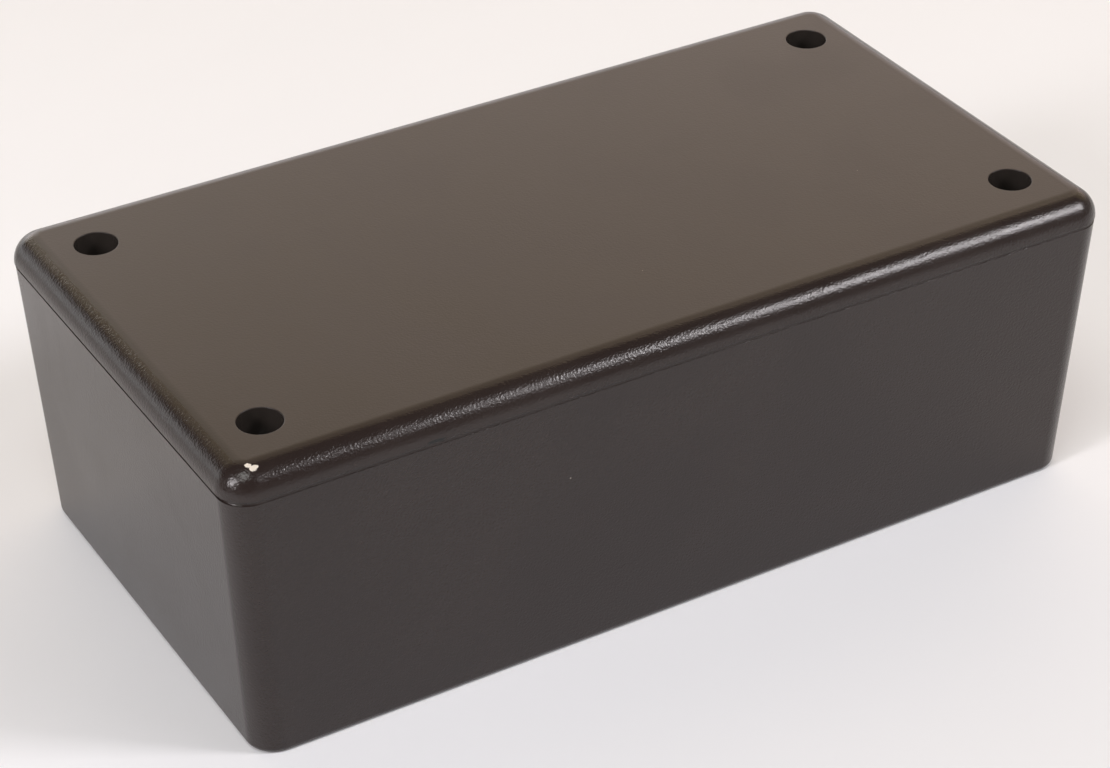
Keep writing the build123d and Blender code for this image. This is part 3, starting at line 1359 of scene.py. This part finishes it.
@dataclass
class ThreadBush:
    """Brass bush with two bands of slanted knurling and a threaded bore."""

    layout: Layout
    finish: Metal
    radius: float = 2.4 * MM
    bore_radius: float = 1.55 * MM
    bore_lead: float = 0.25 * MM
    edge: float = 0.2 * MM
    groove_radius: float = 2.05 * MM
    groove_width: float = 0.9 * MM
    band: float = 2.1 * MM
    teeth: int = 24
    tooth_depth: float = 0.17 * MM
    tooth_lean: float = 0.55
    thread_pitch: float = 0.5 * MM
    thread_depth: float = 0.2 * MM
    sides: int = 192
    band_rows: int = 6
    thread_rows_per_turn: int = 6

    def tube(self) -> Mesh:
        """Make the turned bush, with each point marked for knurling and thread.

        Returns:
            The bush's mesh.
        """
        top, foot = self.layout.pillar_top, self.layout.bush_foot
        radius, groove, edge = self.radius, self.groove_radius, self.edge
        bore, lead = self.bore_radius, self.bore_lead
        upper = [top - edge - self.band * row / self.band_rows for row in range(self.band_rows + 1)]
        shift = self.band + self.groove_width
        rings = [BushRing(bore + lead, top), BushRing(radius - edge, top)]
        rings += [BushRing(radius, z, knurl=1.0) for z in upper]
        rings += [BushRing(groove, upper[-1] - edge), BushRing(groove, upper[0] - shift + edge)]
        rings += [BushRing(radius, z - shift, knurl=-1.0) for z in upper]
        rings += [BushRing(groove, foot + edge), BushRing(groove - edge, foot), BushRing(bore + lead, foot)]
        length = top - foot - 2 * lead
        count = round(length / self.thread_pitch * self.thread_rows_per_turn)
        rings += [BushRing(bore, foot + lead + length * row / count, thread=1.0) for row in range(count + 1)]
        mesh = skin("bush_tube", [circle(ring.radius, ring.z, self.sides) for ring in rings], Ends.JOINED)
        for label in ("knurl", "thread"):
            values = [getattr(ring, label) for ring in rings for _ in range(self.sides)]
            mesh.attributes.new(label, "FLOAT", "POINT").data.foreach_set("value", values)
        return mesh

    @staticmethod
    def cutting_tree() -> NodeTree:
        """Make the tree that cuts the knurls and the thread into the marked points.

        Returns:
            The tree.
        """
        numbers = ("Tooth depth", "Tooth lean", "Thread pitch", "Thread depth")
        takes = {"Teeth": COUNT, **{label: NUMBER for label in numbers}}
        tree = ShellTree("Knurled bush", takes)
        wiring = tree.wiring
        given = wiring.takes
        position = wiring.add("GeometryNodeInputPosition").outputs[0]
        parts = wiring.add("ShaderNodeSeparateXYZ", {0: position}).outputs
        turns = wiring.math("DIVIDE", wiring.math("ARCTAN2", parts["Y"], parts["X"]), FULL_TURN)
        marks = {}
        for label in ("knurl", "thread"):
            node = wiring.add("GeometryNodeInputNamedAttribute", {"Name": label}, data_type="FLOAT")
            marks[label] = node.outputs["Attribute"]
        climb = wiring.math("MULTIPLY", wiring.math("DIVIDE", parts["Z"], MM), given["Tooth lean"])
        around = wiring.math("MULTIPLY", turns, given["Teeth"])
        slanted = wiring.math("MULTIPLY_ADD", climb, marks["knurl"], around)
        tooth = wiring.math("MULTIPLY", wiring.math("PINGPONG", slanted, 0.5), 2.0)
        notch = wiring.math("MULTIPLY", tooth, given["Tooth depth"])
        cut = wiring.math("MULTIPLY", notch, wiring.math("ABSOLUTE", marks["knurl"]))
        wound = wiring.math("SUBTRACT", wiring.math("DIVIDE", parts["Z"], given["Thread pitch"]), turns)
        wave = wiring.math("COSINE", wiring.math("MULTIPLY", wound, FULL_TURN))
        groove = wiring.math("MULTIPLY", wiring.math("MULTIPLY_ADD", wave, 0.5, 0.5), given["Thread depth"])
        out = wiring.math("SUBTRACT", wiring.math("MULTIPLY", groove, marks["thread"]), cut)
        level = wiring.vectors("MULTIPLY", position, (1.0, 1.0, 0.0))
        radial = wiring.vectors("NORMALIZE", level)
        offset = wiring.add("ShaderNodeVectorMath", {0: radial, "Scale": out}, operation="SCALE").outputs[0]
        moved = wiring.add("GeometryNodeSetPosition", {"Geometry": given["Shell"], "Offset": offset})
        return dressed(wiring, moved.outputs[0])

    def build(self) -> Piece:
        """Build one bush on the upright axis.

        Returns:
            The bush.
        """
        piece = link("thread_bush", self.tube())
        values = {
            "Teeth": self.teeth,
            "Tooth depth": self.tooth_depth,
            "Tooth lean": self.tooth_lean,
            "Thread pitch": self.thread_pitch,
            "Thread depth": self.thread_depth,
        }
        grow(piece, self.cutting_tree(), values)
        smooth(piece)
        return piece

    def dress(self, piece: Piece, effects: SharedEffects) -> list[Piece]:
        """Set a bush with the brass on it in each pillar.

        Args:
            piece: The built bush, which is removed.
            effects: Shared shader groups.

        Returns:
            The four bushes.
        """
        material = self.finish.material(effects)
        made = []
        for corner in Corner:
            bush = set_in_corner(piece, corner.named("thread_bush"), corner.named("bush"), 0.0)
            bush.data.materials.clear()
            bush.data.materials.append(material)
            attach(bush, "base")
            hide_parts(corner.named("bush"))
            made.append(bush)
        bpy.data.objects.remove(piece)
        return made


@dataclass(frozen=True)
class Lamp:
    """A soft rectangular lamp aimed at the box.

    It stands at an azimuth from +X and an elevation, both in degrees. Its level is how bright a white
    card looks that faces the lamp at the box.
    """

    name: str
    azimuth: float
    elevation: float
    distance: float
    size: Pair
    level: float
    colour: Triple = (1.0, 1.0, 1.0)

    def build(self, target: Vector) -> Piece:
        """Set the lamp up at its distance from the target.

        Args:
            target: Point that the lamp is aimed at.

        Returns:
            The lamp.
        """
        data = bpy.data.lights.new(self.name, "AREA")
        data.shape = "RECTANGLE"
        data.size, data.size_y = self.size
        data.color = self.colour
        data.energy = self.level * (math.pi * self.distance) ** 2
        lamp = bpy.data.objects.new(self.name, data)
        bpy.context.scene.collection.objects.link(lamp)
        azimuth, elevation = math.radians(self.azimuth), math.radians(self.elevation)
        away = Vector((math.cos(azimuth), math.sin(azimuth), math.tan(elevation))).normalized()
        lamp.location = target + away * self.distance
        lamp.rotation_euler = away.to_track_quat("Z", "Y").to_euler()
        lamp.visible_camera = False
        return lamp


@dataclass
class Studio:
    """White paper floor that curves up all round, and soft lamps in a dim room."""

    paper: Paper
    lamps: tuple[Lamp, ...]
    room_colour: Triple = (0.105, 0.105, 0.100)
    floor_radius: float = 1.9
    ring_shares: tuple[float, ...] = (0.02, 0.2, 0.5, 0.8)
    bend_radius: float = 0.7
    wall_height: float = 1.1
    sides: int = 128
    bend_steps: int = 16

    def build(self, target: Vector, effects: SharedEffects) -> list[Piece]:
        """Return the floor and the lamps.

        Args:
            target: Point that the lamps are aimed at.
            effects: Shared shader groups.

        Returns:
            The stage's objects.
        """
        profile = [(self.floor_radius * share, 0.0) for share in self.ring_shares]
        for inset, drop in reversed(rounded(self.bend_radius, self.bend_steps)):
            profile.append((self.floor_radius + self.bend_radius - inset, drop))
        profile.append((self.floor_radius + self.bend_radius, self.wall_height))
        mesh = skin("paper_floor", turned(profile, self.sides), Ends.OPEN)
        work = bmesh.new()
        work.from_mesh(mesh)
        hole = [edge for edge in work.edges if edge.is_boundary and edge.verts[0].co.z < MM]
        bmesh.ops.holes_fill(work, edges=hole)
        bmesh.ops.recalc_face_normals(work, faces=work.faces)
        for face in work.faces:
            face.smooth = True
        work.to_mesh(mesh)
        work.free()
        floor = link("paper_floor", mesh)
        floor.data.materials.append(self.paper.material(effects))
        self.room()
        return [floor] + [lamp.build(target) for lamp in self.lamps]

    def room(self) -> None:
        """Give the world the dim room's colour."""
        world = bpy.data.worlds.new("dim_room")
        world.use_nodes = True
        world.node_tree.nodes["Background"].inputs["Color"].default_value = (*self.room_colour, 1.0)
        bpy.context.scene.world = world


@dataclass(frozen=True)
class PhotoCamera:
    """Camera at the photograph's angle, for an image of its size."""

    azimuth: float = math.radians(-30.39)
    elevation: float = math.radians(33.28)
    roll: float = math.radians(-0.44)
    distance: float = 494.61 * MM
    right_shift: float = -0.93 * MM
    up_shift: float = -5.25 * MM
    focal_pixels: float = 3152.2
    image_width: float = 1110.0
    sensor_width: float = 36.0

    def build(self, target: Vector) -> Piece:
        """Place the scene's camera by its angles about the target.

        Args:
            target: Point that the angles and the distance are measured from.

        Returns:
            The camera.
        """
        right = Vector((math.cos(self.azimuth), math.sin(self.azimuth), 0.0))
        away = Vector((math.sin(self.azimuth), -math.cos(self.azimuth), 0.0))
        back = away * math.cos(self.elevation) + Vector((0.0, 0.0, math.sin(self.elevation)))
        up = back.cross(right)
        place = target + back * self.distance + right * self.right_shift + up * self.up_shift
        across = right * math.cos(self.roll) + up * math.sin(self.roll)
        upright = back.cross(across)
        data = bpy.data.cameras.new("photo_camera")
        data.sensor_fit = "HORIZONTAL"
        data.sensor_width = self.sensor_width
        data.lens = self.focal_pixels / self.image_width * self.sensor_width
        camera = bpy.data.objects.new("photo_camera", data)
        turn = Matrix((across, upright, back)).transposed().to_4x4()
        camera.matrix_world = Matrix.Translation(place) @ turn
        bpy.context.scene.collection.objects.link(camera)
        bpy.context.scene.camera = camera
        return camera


PALE = (0.78, 0.71, 0.62)
# Near-black of the painted shade at the seam on the lid's front.
PAINTED_SEAM_SHADE = (0.002, 0.002, 0.002)

# Two pale bruises on the lid's front-left corner, and a streak of painted shade at the seam on its front.
LID_MARKS = (
    Mark((-70.50 * MM, -36.50 * MM, 50.27 * MM), (0.50 * MM, 0.46 * MM, 0.46 * MM), PALE),
    Mark((-70.00 * MM, -37.05 * MM, 50.04 * MM), (0.68 * MM, 0.48 * MM, 0.48 * MM), PALE),
    Mark((-43.30 * MM, -39.45 * MM, 46.45 * MM), (1.70 * MM, 0.50 * MM, 0.26 * MM), PAINTED_SEAM_SHADE, 0.8),
)

STEEL = Metal("blackened_steel", (0.10, 0.10, 0.105), (0.055, 0.055, 0.06), (0.34, 0.48), metallic=0.9)
BRASS = Metal("turned_brass", (0.72, 0.52, 0.22), (0.50, 0.34, 0.13), (0.22, 0.36))

LAMPS = (
    Lamp("key_lamp", 318.5, 38.0, 1.2, (0.22, 0.28), 0.42, (1.0, 0.96, 0.98)),
    Lamp("side_lamp", 302.0, 39.5, 1.2, (0.30, 0.28), 0.052, (1.0, 0.96, 0.98)),
    Lamp("fill_lamp", 193.0, 31.0, 0.75, (0.15, 0.26), 0.45, (1.0, 0.95, 0.97)),
    Lamp("top_lamp", 226.0, 64.0, 1.5, (0.60, 0.60), 0.27, (1.0, 1.0, 0.97)),
    Lamp("warm_panel", 57.0, 36.5, 1.5, (3.4, 1.06), 0.33, (1.0, 0.78, 0.36)),
    Lamp("far_panel", 57.0, 19.0, 1.5, (2.6, 0.30), 0.24, (1.0, 0.77, 0.78)),
    Lamp("right_panel", 34.0, 45.0, 1.5, (0.66, 0.44), 0.032, (1.0, 0.80, 0.70)),
    Lamp("low_panel", 94.0, 10.0, 1.5, (3.6, 0.42), 0.33, (0.93, 0.97, 1.0)),
    Lamp("back_lamp", 90.0, 22.0, 1.5, (0.66, 0.21), 0.07, (0.98, 0.99, 1.0)),
)


def main() -> None:
    """Build the box piece by piece, then the studio and the camera, and log each piece's triangle count."""
    logging.basicConfig(level=logging.INFO, format="%(message)s")
    bpy.context.scene.view_settings.view_transform = "Standard"
    layout = Layout.from_frame()
    effects = SharedEffects()
    copies = copies_group()

    base = BaseShell(layout, MouldedPlastic("base_plastic"))
    base_piece = base.build(copies)
    base.dress(base_piece, effects)
    lid = LidShell(layout, MouldedPlastic("lid_plastic", marks=LID_MARKS))
    lid_piece = lid.build(copies)
    lid.dress(lid_piece, effects)
    screw = LidScrew(layout, STEEL)
    screws = screw.dress(screw.build(), effects)
    bush = ThreadBush(layout, BRASS)
    bushes = bush.dress(bush.build(), effects)
    for piece in (base_piece, lid_piece, *screws, *bushes):
        log.info("%s: %d triangles", piece.name, triangles(piece))

    middle = Vector((0.0, 0.0, layout.top / 2))
    for item in Studio(Paper(), LAMPS).build(middle, effects):
        log.info("%s set up", item.name)
    PhotoCamera().build(middle)


if __name__ == "__main__":
    main()
